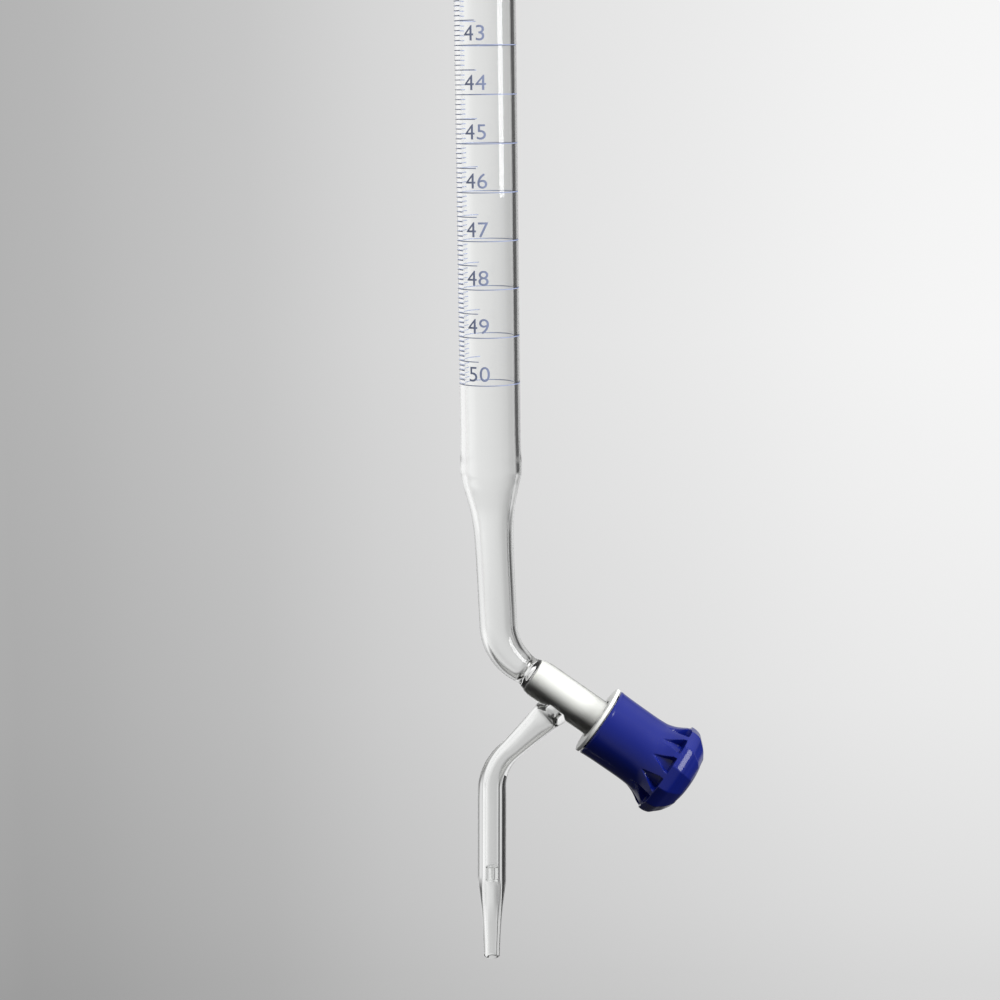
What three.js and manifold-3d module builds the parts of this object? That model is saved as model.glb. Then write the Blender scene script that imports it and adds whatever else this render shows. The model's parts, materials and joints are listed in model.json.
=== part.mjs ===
// Burette, 50 mL in 0.1 mL steps, with a lateral screw valve.
// Millimetres, +Z up. The origin is on the measuring tube's axis at its 25 mL mark, where a stand's clamp
// grips it. The valve leans towards +X. The glass pieces are one fused body, parted here at its seams.

import Module from "manifold-3d";
import * as THREE from "three";
import { mergeVertices } from "three/addons/utils/BufferGeometryUtils.js";

// ---- driving dimensions -------------------------------------------------------------------------

const CAPACITY = 50; // mL
const CLAMPED_MARK = 25; // mL
const MARK_PITCH = 10.4; // mm of tube per mL
const RIM_ABOVE_ZERO = 50;
const GAP = 0.3; // left between pieces that touch

const TUBE = { outer: 6.65, bore: 5.53, rim: 7.35, seam: 6.82 };
const SEAM_DROP = 19.3; // below the 50 mL mark
// Outer radius by the way travelled below the seam, through the cone and round the bend.
const CONE = [[0, 6.8], [3, 6.3], [9, 4.95], [14, 4.4], [20, 4.25], [38, 4.2], [46, 4.05], [52, 3.5]];
const NECK = { wall: 1.2, bend: 12, end: 3.45 };

const VALVE = { x: 9.85, drop: 66.3, tilt: 35.1 }; // start of the barrel, and degrees below level
const NECK_CORNER = -10.3; // along the valve axis, as all the lengths below are
const NECK_END = -4;
const BARREL = { outer: 4.4, bore: 3.2, mouth: 24.2, bead: 5.1, beadLength: 2 };
const SEAT = { throat: 1.5, top: 2.4, start: -2.4, neck: 3.4 };
const PORT = { at: 7.7, bore: 1.5, slant: 10.6 }; // degrees off square to the valve axis

const ARM_BEND = 12;
// Way along the arm from the valve axis, and radius there, outside and in the bore.
const ARM_OUTLINE = [[0, 3.5], [5.4, 3.45], [10, 3.05], [18, 2.6], [25, 3], [28.5, 3.22]];
const ARM_BORE = [[0, 1.5], [4.6, 1.5], [5.6, 2.3], [7, 2.45], [10, 2.15], [14, 1.8], [18, 1.55], [24, 1.5]];
const JET = { cornerX: -0.65, lean: 0.83, seamDrop: 109.75, length: 21.8 };
const JET_BORE = { head: 1.5, middle: 1.27, tip: 1.05 };
const JET_TIP = 1.78; // outer radius
const SLEEVE = { outer: 1.4, bore: 0.5, length: 3.3 };

const LEAD = 2; // mm of travel per turn
const COLLAR = { start: 15.97, flange: 0.8, rim: 8.25, root: 6.1, crest: 6.7, end: 25.9, web: 1.3 };
const KNOB = { bore: 7, crest: 6.4, web: 28.2, webEnd: 30.2, cavity: 4.6, end: 40.5 };
const CAP = { recess: 38.6, radius: 6.2, lip: 0.5, dome: 0.9 };
// Way from the mouth and radius: an almost straight barrel, the flare, the rim and the domed end.
const KNOB_OUTLINE = [
  [0, 8.15], [5, 8.05], [10, 8], [12, 8.1], [14, 8.6], [15.8, 9.6], [17.6, 10.85], [19.8, 10.6], [22, 8.5],
];
// Finger pockets, with their places along the valve axis and the first one's angle in degrees.
const POCKETS = { count: 12, from: 29.6, to: 34.8, floor: 8.15, width: 3.5, phase: 10 };

const SPINDLE = { radius: 2.9, nose: 1.25, tip: -2.2, face: -1, flatsFrom: 20.3, flat: 2.45, shoulder: 27 };
const TAIL = { radius: 1.9, groove: 1.35, grooveFrom: 30.4, grooveTo: 31.8, end: 32.9 };
const O_RING = { major: 2.66, minor: 0.42, groove: 1.95, width: 1.6 };
const O_RINGS = { front_o_ring: 17.3, rear_o_ring: 19.3 };

const ROUND = 36; // facets of a full turn
const FINE_TURN = 18; // steps of a turn of thread

// ---- materials ----------------------------------------------------------------------------------

const finish = (color, roughness, metalness = 0, opacity = 1) =>
  new THREE.MeshStandardMaterial({ color, roughness, metalness, opacity, transparent: opacity < 1 });

const GLASS = finish(0xe6efef, 0.03, 0, 0.35);
const PTFE = finish(0xf4f4f0, 0.45);
const WHITE_PLASTIC = finish(0xeef0ec, 0.35);
const BLUE_PLASTIC = finish(0x2a3296, 0.22);
const RUBBER = finish(0x1b1b1d, 0.6);
const STEEL = finish(0xb9bcc0, 0.25, 1);

// ---- solids -------------------------------------------------------------------------------------

const wasm = await Module();
wasm.setup();

// A geometry as a solid that can be cut and joined: shared vertices merged, slivers at the poles left out.
function solidOf(geometry) {
  const bare = geometry.clone();
  bare.deleteAttribute("normal");
  bare.deleteAttribute("uv");
  const merged = mergeVertices(bare, 1e-4);
  const corners = merged.index.array;
  const faces = [];
  for (let i = 0; i < corners.length; i += 3) {
    const [a, b, c] = corners.subarray(i, i + 3);
    if (a !== b && b !== c && c !== a) faces.push(a, b, c);
  }
  return new wasm.Manifold(
    new wasm.Mesh({
      numProp: 3,
      vertProperties: new Float32Array(merged.attributes.position.array),
      triVerts: new Uint32Array(faces),
    }),
  );
}

function geometryOf(solid) {
  const mesh = solid.getMesh();
  const geometry = new THREE.BufferGeometry();
  geometry.setAttribute("position", new THREE.BufferAttribute(mesh.vertProperties, 3));
  geometry.setIndex(new THREE.BufferAttribute(mesh.triVerts, 1));
  geometry.computeVertexNormals();
  return geometry;
}

const cut = (whole, ...tools) =>
  geometryOf(tools.reduce((left, tool) => left.subtract(solidOf(tool)), solidOf(whole)));
const join = (first, second) => geometryOf(solidOf(first).add(solidOf(second)));

// Turns [height, radius] pairs about +Z. They run up the outside, and then down the bore where there is one.
function turned(profile, facets = ROUND) {
  const points = profile.map(([height, radius]) => new THREE.Vector2(radius, height));
  return new THREE.LatheGeometry(points, facets).rotateX(Math.PI / 2);
}

// A ring or tube with a bore: up the outside, down the inside, closed on itself.
const turnedRing = (outside, inside, facets) => turned([...outside, ...inside, outside[0]], facets);

const rod = (radius, from, to, facets) => turned([[from, 0], [from, radius], [to, radius], [to, 0]], facets);

// Rings of vertices joined into one closed skin, with a fan on each end.
function skinOf(rings) {
  const size = rings[0].length;
  const positions = rings.flat().flatMap((p) => [p.x, p.y, p.z]);
  const faces = [];
  for (let i = 0; i + 1 < rings.length; i += 1) {
    for (let j = 0; j < size; j += 1) {
      const [a, b] = [i * size + j, i * size + ((j + 1) % size)];
      faces.push(a, b, b + size, a, b + size, a + size);
    }
  }
  const last = (rings.length - 1) * size;
  for (let j = 1; j + 1 < size; j += 1) {
    faces.push(0, j + 1, j, last, last + j, last + j + 1);
  }
  const geometry = new THREE.BufferGeometry();
  geometry.setAttribute("position", new THREE.Float32BufferAttribute(positions, 3));
  geometry.setIndex(faces);
  geometry.computeVertexNormals();
  return geometry;
}

// A route in the XZ plane through the corners, each rounded to its own bend radius in that many steps.
function routeOf(corners, bends) {
  const route = [corners[0]];
  bends.forEach(([bend, steps], i) => {
    const [before, corner, after] = [corners[i], corners[i + 1], corners[i + 2]];
    const back = before.clone().sub(corner).normalize();
    const ahead = after.clone().sub(corner).normalize();
    const reach = bend / Math.tan(back.angleTo(ahead) / 2);
    const middle = back.clone().add(ahead).normalize();
    const centre = corner.clone().addScaledVector(middle, Math.hypot(bend, reach));
    const start = corner.clone().addScaledVector(back, reach).sub(centre);
    const sweep = Math.PI - back.angleTo(ahead);
    const turn = new THREE.Vector3().crossVectors(back.clone().negate(), ahead).normalize();
    for (let k = 0; k <= steps; k += 1) {
      route.push(start.clone().applyAxisAngle(turn, (sweep * k) / steps).add(centre));
    }
  });
  route.push(corners[corners.length - 1]);
  return route;
}

// Points added along the straight stretches, so that no step is longer than the one given.
function divided(route, step) {
  return route.flatMap((point, i) => {
    if (i === 0) return [point];
    const parts = Math.ceil(point.distanceTo(route[i - 1]) / step);
    return Array.from({ length: parts }, (_, k) => route[i - 1].clone().lerp(point, (k + 1) / parts));
  });
}

// A round bar along a route in the XZ plane, with its radius given by the distance travelled.
function bar(route, radiusAt, facets) {
  const across = new THREE.Vector3(0, 1, 0);
  let travelled = 0;
  return skinOf(
    route.map((point, i) => {
      const before = route[Math.max(i - 1, 0)];
      const after = route[Math.min(i + 1, route.length - 1)];
      travelled += point.distanceTo(before);
      const side = new THREE.Vector3().crossVectors(across, after.clone().sub(before)).normalize();
      const radius = radiusAt(travelled);
      return Array.from({ length: facets }, (_, k) => {
        const angle = (2 * Math.PI * k) / facets;
        return point.clone()
          .addScaledVector(side, radius * Math.cos(angle))
          .addScaledVector(across, radius * Math.sin(angle));
      });
    }),
  );
}

// A value read off [distance, value] pairs, straight between them and level past both ends.
function along(pairs, distance) {
  const next = pairs.findIndex(([at]) => at > distance);
  if (next === 0) return pairs[0][1];
  if (next < 0) return pairs[pairs.length - 1][1];
  const [[a, from], [b, to]] = [pairs[next - 1], pairs[next]];
  return THREE.MathUtils.mapLinear(distance, a, b, from, to);
}

// One right-hand ridge of thread about +Z, with its foot at one radius and its crest at another.
function threadRidge(foot, crest, from, turns) {
  const [footHalf, crestHalf] = [0.4, 0.15];
  const section = [[foot, -footHalf], [crest, -crestHalf], [crest, crestHalf], [foot, footHalf]];
  if (crest > foot) section.reverse();
  const steps = Math.round(turns * FINE_TURN);
  const rings = Array.from({ length: steps + 1 }, (_, k) => {
    const turn = k / FINE_TURN;
    return section.map(([radius, height]) =>
      new THREE.Vector3(radius, 0, from + height + turn * LEAD)
        .applyAxisAngle(new THREE.Vector3(0, 0, 1), turn * 2 * Math.PI));
  });
  return skinOf(rings);
}

// A circle with two flats across it.
function flattedCircle(radius, flat) {
  const corner = Math.acos(flat / radius);
  const shape = new THREE.Shape();
  shape.absarc(0, 0, radius, corner, Math.PI - corner, false);
  shape.absarc(0, 0, radius, Math.PI + corner, 2 * Math.PI - corner, false);
  return shape;
}

function raised(shape, from, to) {
  const options = { depth: to - from, bevelEnabled: false, curveSegments: 16 };
  return new THREE.ExtrudeGeometry(shape, options).translate(0, 0, from);
}

// ---- places -------------------------------------------------------------------------------------

const markHeight = (volume) => (CLAMPED_MARK - volume) * MARK_PITCH;
const below50 = (x, drop) => new THREE.Vector3(x, 0, markHeight(CAPACITY) - drop);

const tilt = THREE.MathUtils.degToRad(VALVE.tilt);
const valveStart = below50(VALVE.x, VALVE.drop);
const valveAxis = new THREE.Vector3(Math.cos(tilt), 0, -Math.sin(tilt));
const onValve = (distance) => valveStart.clone().addScaledVector(valveAxis, distance);

const armLean = tilt + THREE.MathUtils.degToRad(PORT.slant);
const armAxis = new THREE.Vector3(-Math.sin(armLean), 0, -Math.cos(armLean));

// The arm's line meets the leaning line of the outlet at the elbow; the jet starts at the seam below it.
const lean = THREE.MathUtils.degToRad(JET.lean);
const armStart = onValve(PORT.at);
const elbow = armStart.clone().addScaledVector(armAxis, (armStart.x - JET.cornerX) / -armAxis.x);
const seamHeight = below50(0, JET.seamDrop).z;
const seam = new THREE.Vector3(elbow.x - (elbow.z - seamHeight) * Math.tan(lean), 0, seamHeight);

const object = new THREE.Group();
const valve = new THREE.Group(); // its +Z is the valve axis, and its +X looks down to the outlet
valve.position.copy(valveStart);
valve.rotation.y = Math.PI / 2 + tilt;
object.add(valve);
const jet = new THREE.Group(); // its +Z looks up the outlet's axis from the seam
jet.position.copy(seam);
jet.rotation.y = lean;
object.add(jet);

function place(parent, name, geometry, material) {
  const mesh = new THREE.Mesh(geometry, material);
  mesh.name = name;
  parent.add(mesh);
}

// ---- glass --------------------------------------------------------------------------------------

function measuringTube() {
  const bottom = markHeight(CAPACITY) - SEAM_DROP + GAP;
  const rim = markHeight(0) + RIM_ABOVE_ZERO;
  const outside = [
    [bottom, TUBE.seam], [bottom + 4, TUBE.outer], [rim - 4.5, TUBE.outer],
    [rim - 2.6, TUBE.rim], [rim - 0.8, TUBE.rim], [rim, TUBE.rim - 0.6],
  ];
  const inside = [[rim, TUBE.bore + 0.3], [rim - 1.2, TUBE.bore], [bottom, TUBE.bore]];
  return turnedRing(outside, inside);
}

// The cone that narrows the measuring tube, and the thinner tube that leans and bends round to the valve.
function lowerTube() {
  const top = below50(0, SEAM_DROP + GAP);
  const corner = onValve(NECK_CORNER);
  const corners = [top, below50(0, 22.5), corner, onValve(NECK_END - GAP / 2)];
  const route = divided(routeOf(corners, [[30, 1], [NECK.bend, 6]]), 5);
  const profile = new THREE.SplineCurve(CONE.map(([way, radius]) => new THREE.Vector2(way, radius)));
  const cone = profile.getPoints(24).map(({ x, y }) => [x, y]);
  const outer = bar(route, (travelled) => along(cone, travelled), 28);
  const first = route[0].clone().setZ(route[0].z + 1);
  const last = route[route.length - 1].clone().addScaledVector(valveAxis, 1);
  const bore = bar([first, ...route, last], (travelled) => along(cone, travelled - 1) - NECK.wall, 28);
  return cut(outer, bore);
}

// The valve's barrel: a throat with a conical seat, a bore for the spindle, a side port and a beaded mouth.
function valveBarrel() {
  const start = NECK_END + GAP / 2;
  const { outer, bore, mouth, bead, beadLength } = BARREL;
  const outside = [
    [start, NECK.end], [-2.2, SEAT.neck], [-0.2, outer - 0.1], [4, outer], [mouth - beadLength - 0.5, outer],
    [mouth - beadLength, bead], [mouth - 0.4, bead], [mouth, bead - 0.4],
  ];
  const inside = [
    [mouth, bore], [-1.3, bore], [-1.5, SEAT.top], [SEAT.start, SEAT.throat],
    [SEAT.start - 0.5, SEAT.throat], [start, NECK.end - NECK.wall],
  ];
  const port = rod(PORT.bore, 0, 8, 16);
  port.rotateY(Math.PI / 2 + THREE.MathUtils.degToRad(PORT.slant));
  port.translate(0, 0, PORT.at);
  return cut(turnedRing(outside, inside), port);
}

// The side arm from the barrel's port, bent down into the thick-walled outlet.
function outletArm() {
  const end = seam.clone().lerp(elbow, GAP / 2 / seam.distanceTo(elbow));
  const route = divided(routeOf([armStart, elbow, end], [[ARM_BEND, 8]]), 5);
  const outer = bar(route, (travelled) => along(ARM_OUTLINE, travelled), 24);
  const bore = bar([...route, seam.clone().setZ(seam.z - 1)], (travelled) => along(ARM_BORE, travelled), 20);
  const barrel = rod(BARREL.outer + GAP, NECK_END, COLLAR.start, ROUND);
  barrel.rotateY(valve.rotation.y);
  barrel.translate(valveStart.x, valveStart.y, valveStart.z);
  return cut(outer, bore, barrel);
}

// Lengths in the jet are measured down from the seam.
function jetTip() {
  const { length } = JET;
  const straight = ARM_OUTLINE[ARM_OUTLINE.length - 1][1];
  const [head, shoulder] = [-GAP / 2, -4.3];
  const outside = [
    [-length, JET_TIP - 0.15], [0.25 - length, JET_TIP], [-15.3, 2.05], [-9.8, 2.5], [shoulder, straight],
    [head, straight],
  ];
  const inside = [[head, JET_BORE.head], [shoulder, JET_BORE.head], [-13, JET_BORE.middle], [-length, JET_BORE.tip]];
  return turnedRing(outside, inside, 24);
}

// A short capillary sleeve at the head of the jet, which slows the flow.
function flowRestrictor() {
  const top = -GAP / 2 - 0.1;
  const bottom = top - SLEEVE.length;
  const outside = [[bottom, SLEEVE.outer], [top, SLEEVE.outer]];
  const inside = [[top, SLEEVE.bore], [bottom, SLEEVE.bore]];
  return turnedRing(outside, inside, 24);
}

// ---- valve --------------------------------------------------------------------------------------

// White collar snapped over the barrel's bead. Its thread carries the knob, and its flatted hole keeps the
// spindle from turning.
function threadedCollar() {
  const { start, flange, rim, root, crest, end, web } = COLLAR;
  const loose = BARREL.outer + GAP;
  const pocket = BARREL.bead + GAP;
  const pocketFrom = BARREL.mouth - BARREL.beadLength - 0.8;
  const outside = [
    [start, rim - 0.2], [start + 0.2, rim], [start + flange, rim], [start + flange, root],
    [end - 0.4, root], [end, root - 0.4],
  ];
  const inside = [
    [end, 0], [end - web, 0], [end - web, pocket], [pocketFrom, pocket], [pocketFrom - 0.6, loose], [start, loose],
  ];
  const body = turnedRing(outside, inside);
  const threaded = join(body, threadRidge(root - 0.2, crest, start + 2.3, 3.25));
  return cut(threaded, raised(flattedCircle(SPINDLE.radius + GAP, SPINDLE.flat + GAP), end - web - 1, end + 1));
}

function grooveFor(centre) {
  const half = O_RING.width / 2;
  const { radius } = SPINDLE;
  return [
    [centre - half, radius], [centre - half, O_RING.groove],
    [centre + half, O_RING.groove], [centre + half, radius],
  ];
}

// The plunger: a conical nose for the seat, two O-ring grooves, a flatted stem and a tail that holds the knob.
function valveSpindle() {
  const { radius, nose, tip, face, flatsFrom, flat, shoulder } = SPINDLE;
  const body = turned([
    [tip, 0], [tip, nose], [face - 0.08, SEAT.top], [face, radius - 0.1], [face + 0.1, radius],
    ...Object.values(O_RINGS).flatMap(grooveFor),
    [shoulder, radius], [shoulder, TAIL.radius], [TAIL.grooveFrom, TAIL.radius], [TAIL.grooveFrom, TAIL.groove],
    [TAIL.grooveTo, TAIL.groove], [TAIL.grooveTo, TAIL.radius], [TAIL.end - 0.5, TAIL.radius],
    [TAIL.end, TAIL.radius - 0.5], [TAIL.end, 0],
  ]);
  const length = shoulder - flatsFrom;
  const slab = new THREE.BoxGeometry(2, 8, length + 1).translate(flat + 1, 0, flatsFrom + (length + 1) / 2);
  return cut(body, slab, slab.clone().rotateZ(Math.PI));
}

const oRing = (centre) => new THREE.TorusGeometry(O_RING.major, O_RING.minor, 8, 28).translate(0, 0, centre);

// Low-friction washer between the spindle's shoulder and the knob's web.
function thrustWasher() {
  const [bottom, top] = [SPINDLE.shoulder + GAP, KNOB.web - GAP];
  const hole = TAIL.radius + GAP;
  return turnedRing([[bottom, 4.4], [top, 4.4]], [[top, hole], [bottom, hole]], 28);
}

// Open steel ring in the tail's groove, behind the knob's web.
function spindleClip() {
  const [outer, inner, opening] = [3.4, TAIL.groove + GAP, 0.5];
  const shape = new THREE.Shape();
  shape.absarc(0, 0, outer, opening, 2 * Math.PI - opening, false);
  shape.absarc(0, 0, inner, 2 * Math.PI - opening, opening, true);
  return raised(shape, TAIL.grooveFrom + GAP, TAIL.grooveTo - GAP);
}

// One of the finger pockets under the knob's flared rim: a wedge with its point towards the collar.
function fingerPocket(angle) {
  const { from, to, floor, width } = POCKETS;
  const wedge = new THREE.Shape([
    new THREE.Vector2(0, from), new THREE.Vector2(width / 2, to - 0.6), new THREE.Vector2(width / 2 - 0.4, to),
    new THREE.Vector2(0.4 - width / 2, to), new THREE.Vector2(-width / 2, to - 0.6),
  ]);
  const outward = new THREE.Matrix4().makeBasis(
    new THREE.Vector3(0, 1, 0), new THREE.Vector3(0, 0, 1), new THREE.Vector3(1, 0, 0),
  );
  return raised(wedge, floor, floor + 6).applyMatrix4(outward).rotateZ(THREE.MathUtils.degToRad(angle));
}

// Hollow knob: a threaded mouth, an inner web on the spindle's tail, a flared end with finger pockets, and a
// recess for the cap.
function controlKnob() {
  const mouth = COLLAR.start + COLLAR.flange + GAP;
  const { bore, crest, web, webEnd, cavity, end } = KNOB;
  const outside = [
    [mouth, KNOB_OUTLINE[0][1] - 0.25], ...KNOB_OUTLINE.map(([way, radius]) => [mouth + 0.25 + way, radius]),
    [end, CAP.radius + CAP.lip],
  ];
  const hole = TAIL.radius + GAP;
  const inside = [
    [end, CAP.radius], [CAP.recess, CAP.radius], [CAP.recess, cavity], [webEnd, cavity], [webEnd, hole],
    [web, hole], [web, bore], [mouth, bore],
  ];
  const step = 360 / POCKETS.count;
  const pockets = Array.from({ length: POCKETS.count }, (_, i) => fingerPocket(POCKETS.phase + i * step));
  const body = cut(turnedRing(outside, inside), ...pockets);
  return join(body, threadRidge(bore + 0.2, crest, COLLAR.start + 2.3 + LEAD / 2, 1.5));
}

// Domed cap pressed into the knob's outer end, with a short skirt inside.
function knobEndCap() {
  const seat = CAP.recess + GAP;
  const edge = CAP.radius - GAP;
  const skirt = KNOB.cavity - GAP;
  const top = KNOB.end + CAP.dome;
  return turned([
    [seat + 0.8, 0], [seat + 0.8, skirt - 1], [seat - 2.6, skirt - 1], [seat - 2.6, skirt], [seat, skirt],
    [seat, edge], [KNOB.end, edge], [top - 0.4, edge - 1.5], [top - 0.1, 2.4], [top, 0],
  ]);
}

// ---- assembly -----------------------------------------------------------------------------------

place(object, "measuring_tube", measuringTube(), GLASS);
place(object, "lower_tube", lowerTube(), GLASS);
place(valve, "valve_barrel", valveBarrel(), GLASS);
place(object, "outlet_arm", outletArm(), GLASS);
place(jet, "jet_tip", jetTip(), GLASS);
place(jet, "flow_restrictor", flowRestrictor(), GLASS);
place(valve, "threaded_collar", threadedCollar(), WHITE_PLASTIC);
place(valve, "valve_spindle", valveSpindle(), PTFE);
for (const [name, centre] of Object.entries(O_RINGS)) {
  place(valve, name, oRing(centre), RUBBER);
}
place(valve, "thrust_washer", thrustWasher(), PTFE);
place(valve, "spindle_clip", spindleClip(), STEEL);
place(valve, "control_knob", controlKnob(), BLUE_PLASTIC);
place(valve, "knob_end_cap", knobEndCap(), BLUE_PLASTIC);

export default object;
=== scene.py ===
"""A 50 mL burette with a lateral screw valve: meshes, materials, camera and light round the frame.

The shapes, the flag and the camera's place are given in millimetres, the lamps and the floor in
metres. The valve's parts are turned about the valve axis, which runs out of the barrel's seat
towards the knob. A "way" is a distance travelled along a route, and a "reach" is a distance from an
axis.
"""

import json
import math

import bmesh
import bpy
import numpy as np
from mathutils import Matrix, Vector


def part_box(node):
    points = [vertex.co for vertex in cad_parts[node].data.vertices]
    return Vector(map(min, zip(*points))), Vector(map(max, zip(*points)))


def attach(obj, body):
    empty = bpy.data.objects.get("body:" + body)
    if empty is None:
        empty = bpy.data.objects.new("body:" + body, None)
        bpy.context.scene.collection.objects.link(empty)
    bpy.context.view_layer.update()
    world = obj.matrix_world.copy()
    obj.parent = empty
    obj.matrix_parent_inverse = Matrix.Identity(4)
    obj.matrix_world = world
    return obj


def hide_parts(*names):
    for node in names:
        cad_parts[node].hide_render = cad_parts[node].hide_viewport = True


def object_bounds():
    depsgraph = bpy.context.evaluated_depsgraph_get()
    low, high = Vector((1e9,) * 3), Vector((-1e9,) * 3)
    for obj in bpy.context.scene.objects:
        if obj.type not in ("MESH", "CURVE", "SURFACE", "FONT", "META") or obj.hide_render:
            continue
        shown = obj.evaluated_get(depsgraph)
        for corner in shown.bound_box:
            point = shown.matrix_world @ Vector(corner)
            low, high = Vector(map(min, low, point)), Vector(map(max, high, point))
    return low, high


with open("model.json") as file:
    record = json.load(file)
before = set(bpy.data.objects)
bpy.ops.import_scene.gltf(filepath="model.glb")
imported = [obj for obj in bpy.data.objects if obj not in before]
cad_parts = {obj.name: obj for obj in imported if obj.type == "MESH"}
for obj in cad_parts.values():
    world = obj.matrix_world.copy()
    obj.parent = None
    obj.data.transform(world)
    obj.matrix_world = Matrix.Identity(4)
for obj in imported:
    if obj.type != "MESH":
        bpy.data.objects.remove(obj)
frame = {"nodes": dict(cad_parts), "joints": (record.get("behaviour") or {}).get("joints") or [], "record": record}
cad_low, cad_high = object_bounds()

# ---- driving dimensions, in millimetres ----------------------------------------------------------

MM = 0.001
CAPACITY = 50  # mL
CLAMPED_MARK = 25
MARK_PITCH = 10.4
GAP = 0.3

TUBE_OUTER = 6.65
TUBE_BORE = 5.53
RIM = [(0, 6.7), (0.25, 7.05), (0.8, 7.3), (1.7, 7.35), (2.6, 7.25), (3.6, 6.85), (4.6, TUBE_OUTER)]
RIM_BORE = [(-1, 6.1), (0, 5.95), (0.5, 5.68), (1.4, TUBE_BORE)]
# Way below the seam under the measuring tube, and outer radius there.
CONE = [(-9, TUBE_OUTER), (-4, 6.68), (-1, 6.82), (1, 6.72), (3, 6.3), (6, 5.6), (9, 4.95),
        (11.5, 4.6), (14, 4.4), (20, 4.25), (38, 4.2)]
CONE_WALL = [(0, TUBE_OUTER - TUBE_BORE), (10, 1.2)]
TUBE_BENDS = (30, 12)
BEND_START = 3.2  # below the seam
NECK_CORNER = -10.3  # along the valve axis
# Along the valve axis: the outside from the neck over the barrel to the beaded mouth, and the bore.
BARREL = [(-8, 3.95), (-5.5, 3.7), (-4, 3.45), (-2.9, 3.35), (-1.7, 3.7), (-0.6, 4.15), (1, 4.36),
          (3, 4.4), (21.3, 4.4), (22.1, 5.0), (22.8, 5.1), (23.6, 5.05), (24.2, 4.7)]
BORE = 3.2
BARREL_BORE = [(-8, 2.75), (-5, 2.45), (-3.8, 2.15), (-3, 1.6), (-2.5, 1.5), (-1.9, 2.1),
               (-1.45, 2.95), (-1.2, BORE), (25, BORE)]
# The bore's surface that the spindle is wetted to: its stretch along the valve axis and its reach.
SEATED_WAY = (-1.1, 20)
SEATED_REACH = (BORE - 0.1, BORE + 0.02)
MOUTH = 24.2

PORT_AT = 7.7
PORT_SLANT = 10.6  # degrees off square to the valve axis
# Way down the side arm from the valve axis, and the outer radius or the bore's radius there.
ARM = [(1.6, 4.15), (2.4, 4.05), (3.4, 3.92), (4.6, 3.78), (5.4, 3.56), (6.4, 3.4), (8, 3.24),
       (10, 3.05), (14, 2.8), (18, 2.6), (21.5, 2.78), (25, 3.02), (28.5, 3.18), (31, 3.22)]
ARM_BORE = [(0, 1.5), (4.3, 1.5), (5.1, 2.1), (6.2, 2.45), (8, 2.38), (10, 2.15), (14, 1.8),
            (18, 1.58), (24, 1.5)]
ARM_BEND = 12
JET_LENGTH = 21.8
JET_RIM_OFFSET = 1.34  # from the bore's centre to the mount's point on the tip
# Way down the jet from its seam, and the same radii.
JET = [(3.6, 3.22), (4.6, 3.14), (7, 2.86), (9.8, 2.5), (15.3, 2.05), (19.7, 1.86), (21.6, 1.78),
       (JET_LENGTH, 1.62)]
JET_BORE = [(-3, 1.5), (4.2, 1.5), (8.4, 1.42), (13, 1.27), (20, 1.07), (24, 1.05)]
SLEEVE_OUTER = 1.4
SLEEVE_BORE = 0.5
SLEEVE_FROM = 0.25
SLEEVE_LENGTH = 3.3

# Lines and figures of enamel on the measuring tube. Angles are in degrees round the tube.
LINE_WIDTH = 0.2
ENAMEL_FOOT = -0.03
ENAMEL_TOP = 0.02
SCALE_CENTRE = 186.5  # the marks' middle, measured from +X
HALF_SPAN = 69.5  # on each side of it, for a half millilitre
TENTH_SPAN = 36
ENAMEL_STEP = 3.75
FIGURE_CENTRE = 256
FIGURE_HEIGHT = 3.4
FIGURE_STRETCH = 1.1  # of a figure's width
FIGURE_PITCH = 2.65
FIGURE_RISE = 0.95  # of the figures' feet over their line
DIGIT_HEIGHT = 0.73  # of the typeface's figures at size 1
FIGURE_STEP = 0.4  # between the cuts that let a flat figure wrap round the tube

LEAD = 2.0
COLLAR_START = 15.97
COLLAR_FLANGE = 0.8
COLLAR_RIM = 8.25
COLLAR_ROOT = 6.1
COLLAR_CREST = 6.7
COLLAR_END = 25.9
COLLAR_WEB = 1.3
COLLAR_BORE = 4.8  # round the barrel
COLLAR_SOCKET = 5.4  # round the barrel's bead
COLLAR_THREAD = (18.27, 3.25)  # start and turns

KNOB_MOUTH = 17.07
KNOB_END = 40.5
KNOB_WEB = (28.2, 30.2)
KNOB_BORE = 7.0
KNOB_CREST = 6.4
KNOB_THREAD = (19.27, 1.5)
KNOB_CAVITY = 4.6
KNOB_OUTLINE = [(KNOB_MOUTH, 7.9), (17.17, 8.12), (17.5, 8.2), (18.1, 8.14), (22, 8.03),
                (27, 8.0), (29.3, 8.1), (31.3, 8.6), (33.1, 9.55), (34.3, 10.45), (34.95, 10.82),
                (35.6, 10.85), (37, 10.55), (38.2, 9.55), (39.3, 8.5), (40.2, 7.2),
                (KNOB_END, 6.7)]
FACETS = 12
FACET_CORNER = 10  # degrees; the pockets' middles are on the facets' corners
FACETED = (33.2, 35.0)  # the rim turns from round to faceted between these
POCKET_FLOOR = 8.12
POCKET_TOP = 29.4
POCKET_BASE = 34.75
POCKET_WIDTH = 3.7
POCKET_REACH = 9.4  # from the axis, where that width is measured
CAP_RADIUS = 6.2
CAP_RECESS = 38.6
CAP_DOME = 0.9

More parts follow.
